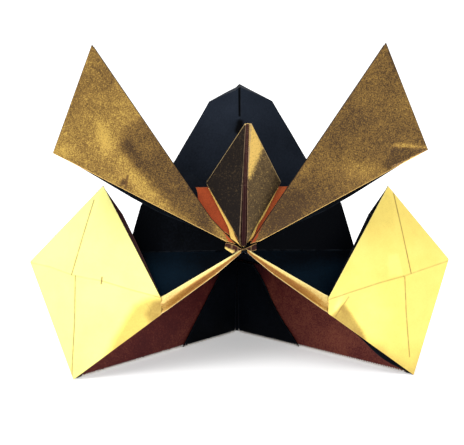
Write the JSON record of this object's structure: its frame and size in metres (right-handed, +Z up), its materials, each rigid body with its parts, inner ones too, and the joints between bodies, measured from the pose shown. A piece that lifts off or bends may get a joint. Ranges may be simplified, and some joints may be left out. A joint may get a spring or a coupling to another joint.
{
  "type": "folded paper kabuto samurai helmet",
  "caption": "Kabuto helmet folded from black and gold foil paper, with horns, a crest, side wings and an open hollow crown.",
  "frame": {"origin": "under the middle of the helmet's box, on the surface that it rests on", "axes": "+X to the right of someone who faces the helmet, +Y from the face to the neck, +Z up"},
  "size_m": [0.166, 0.0666, 0.1317],
  "materials": {
    "black_paper": "satin",
    "gold_foil_bright": "satin",
    "gold_foil_antique": "satin",
    "gold_foil_red": "satin",
    "gold_foil_shaded": "satin"
  },
  "bodies": {
    "root": {"crown": "black_paper", "brow_left": "black_paper", "brow_right": "black_paper", "neck_guard_left": "black_paper", "neck_guard_right": "black_paper", "neck_facing_left": "gold_foil_shaded", "neck_facing_right": "gold_foil_shaded", "inner_flap_left": "black_paper", "inner_flap_right": "black_paper", "crest": "gold_foil_antique", "crest_backing": "gold_foil_red", "crest_hem_left": "gold_foil_bright", "crest_hem_right": "gold_foil_bright", "knot": "gold_foil_antique", "horn_left": "gold_foil_antique", "horn_right": "gold_foil_antique", "horn_back_left": "black_paper", "horn_back_right": "black_paper", "brim_strip_left": "gold_foil_bright", "brim_strip_right": "gold_foil_bright", "wing_left": "gold_foil_bright", "wing_right": "gold_foil_bright", "wing_back_left": "black_paper", "wing_back_right": "black_paper"}
  },
  "joints": []
}
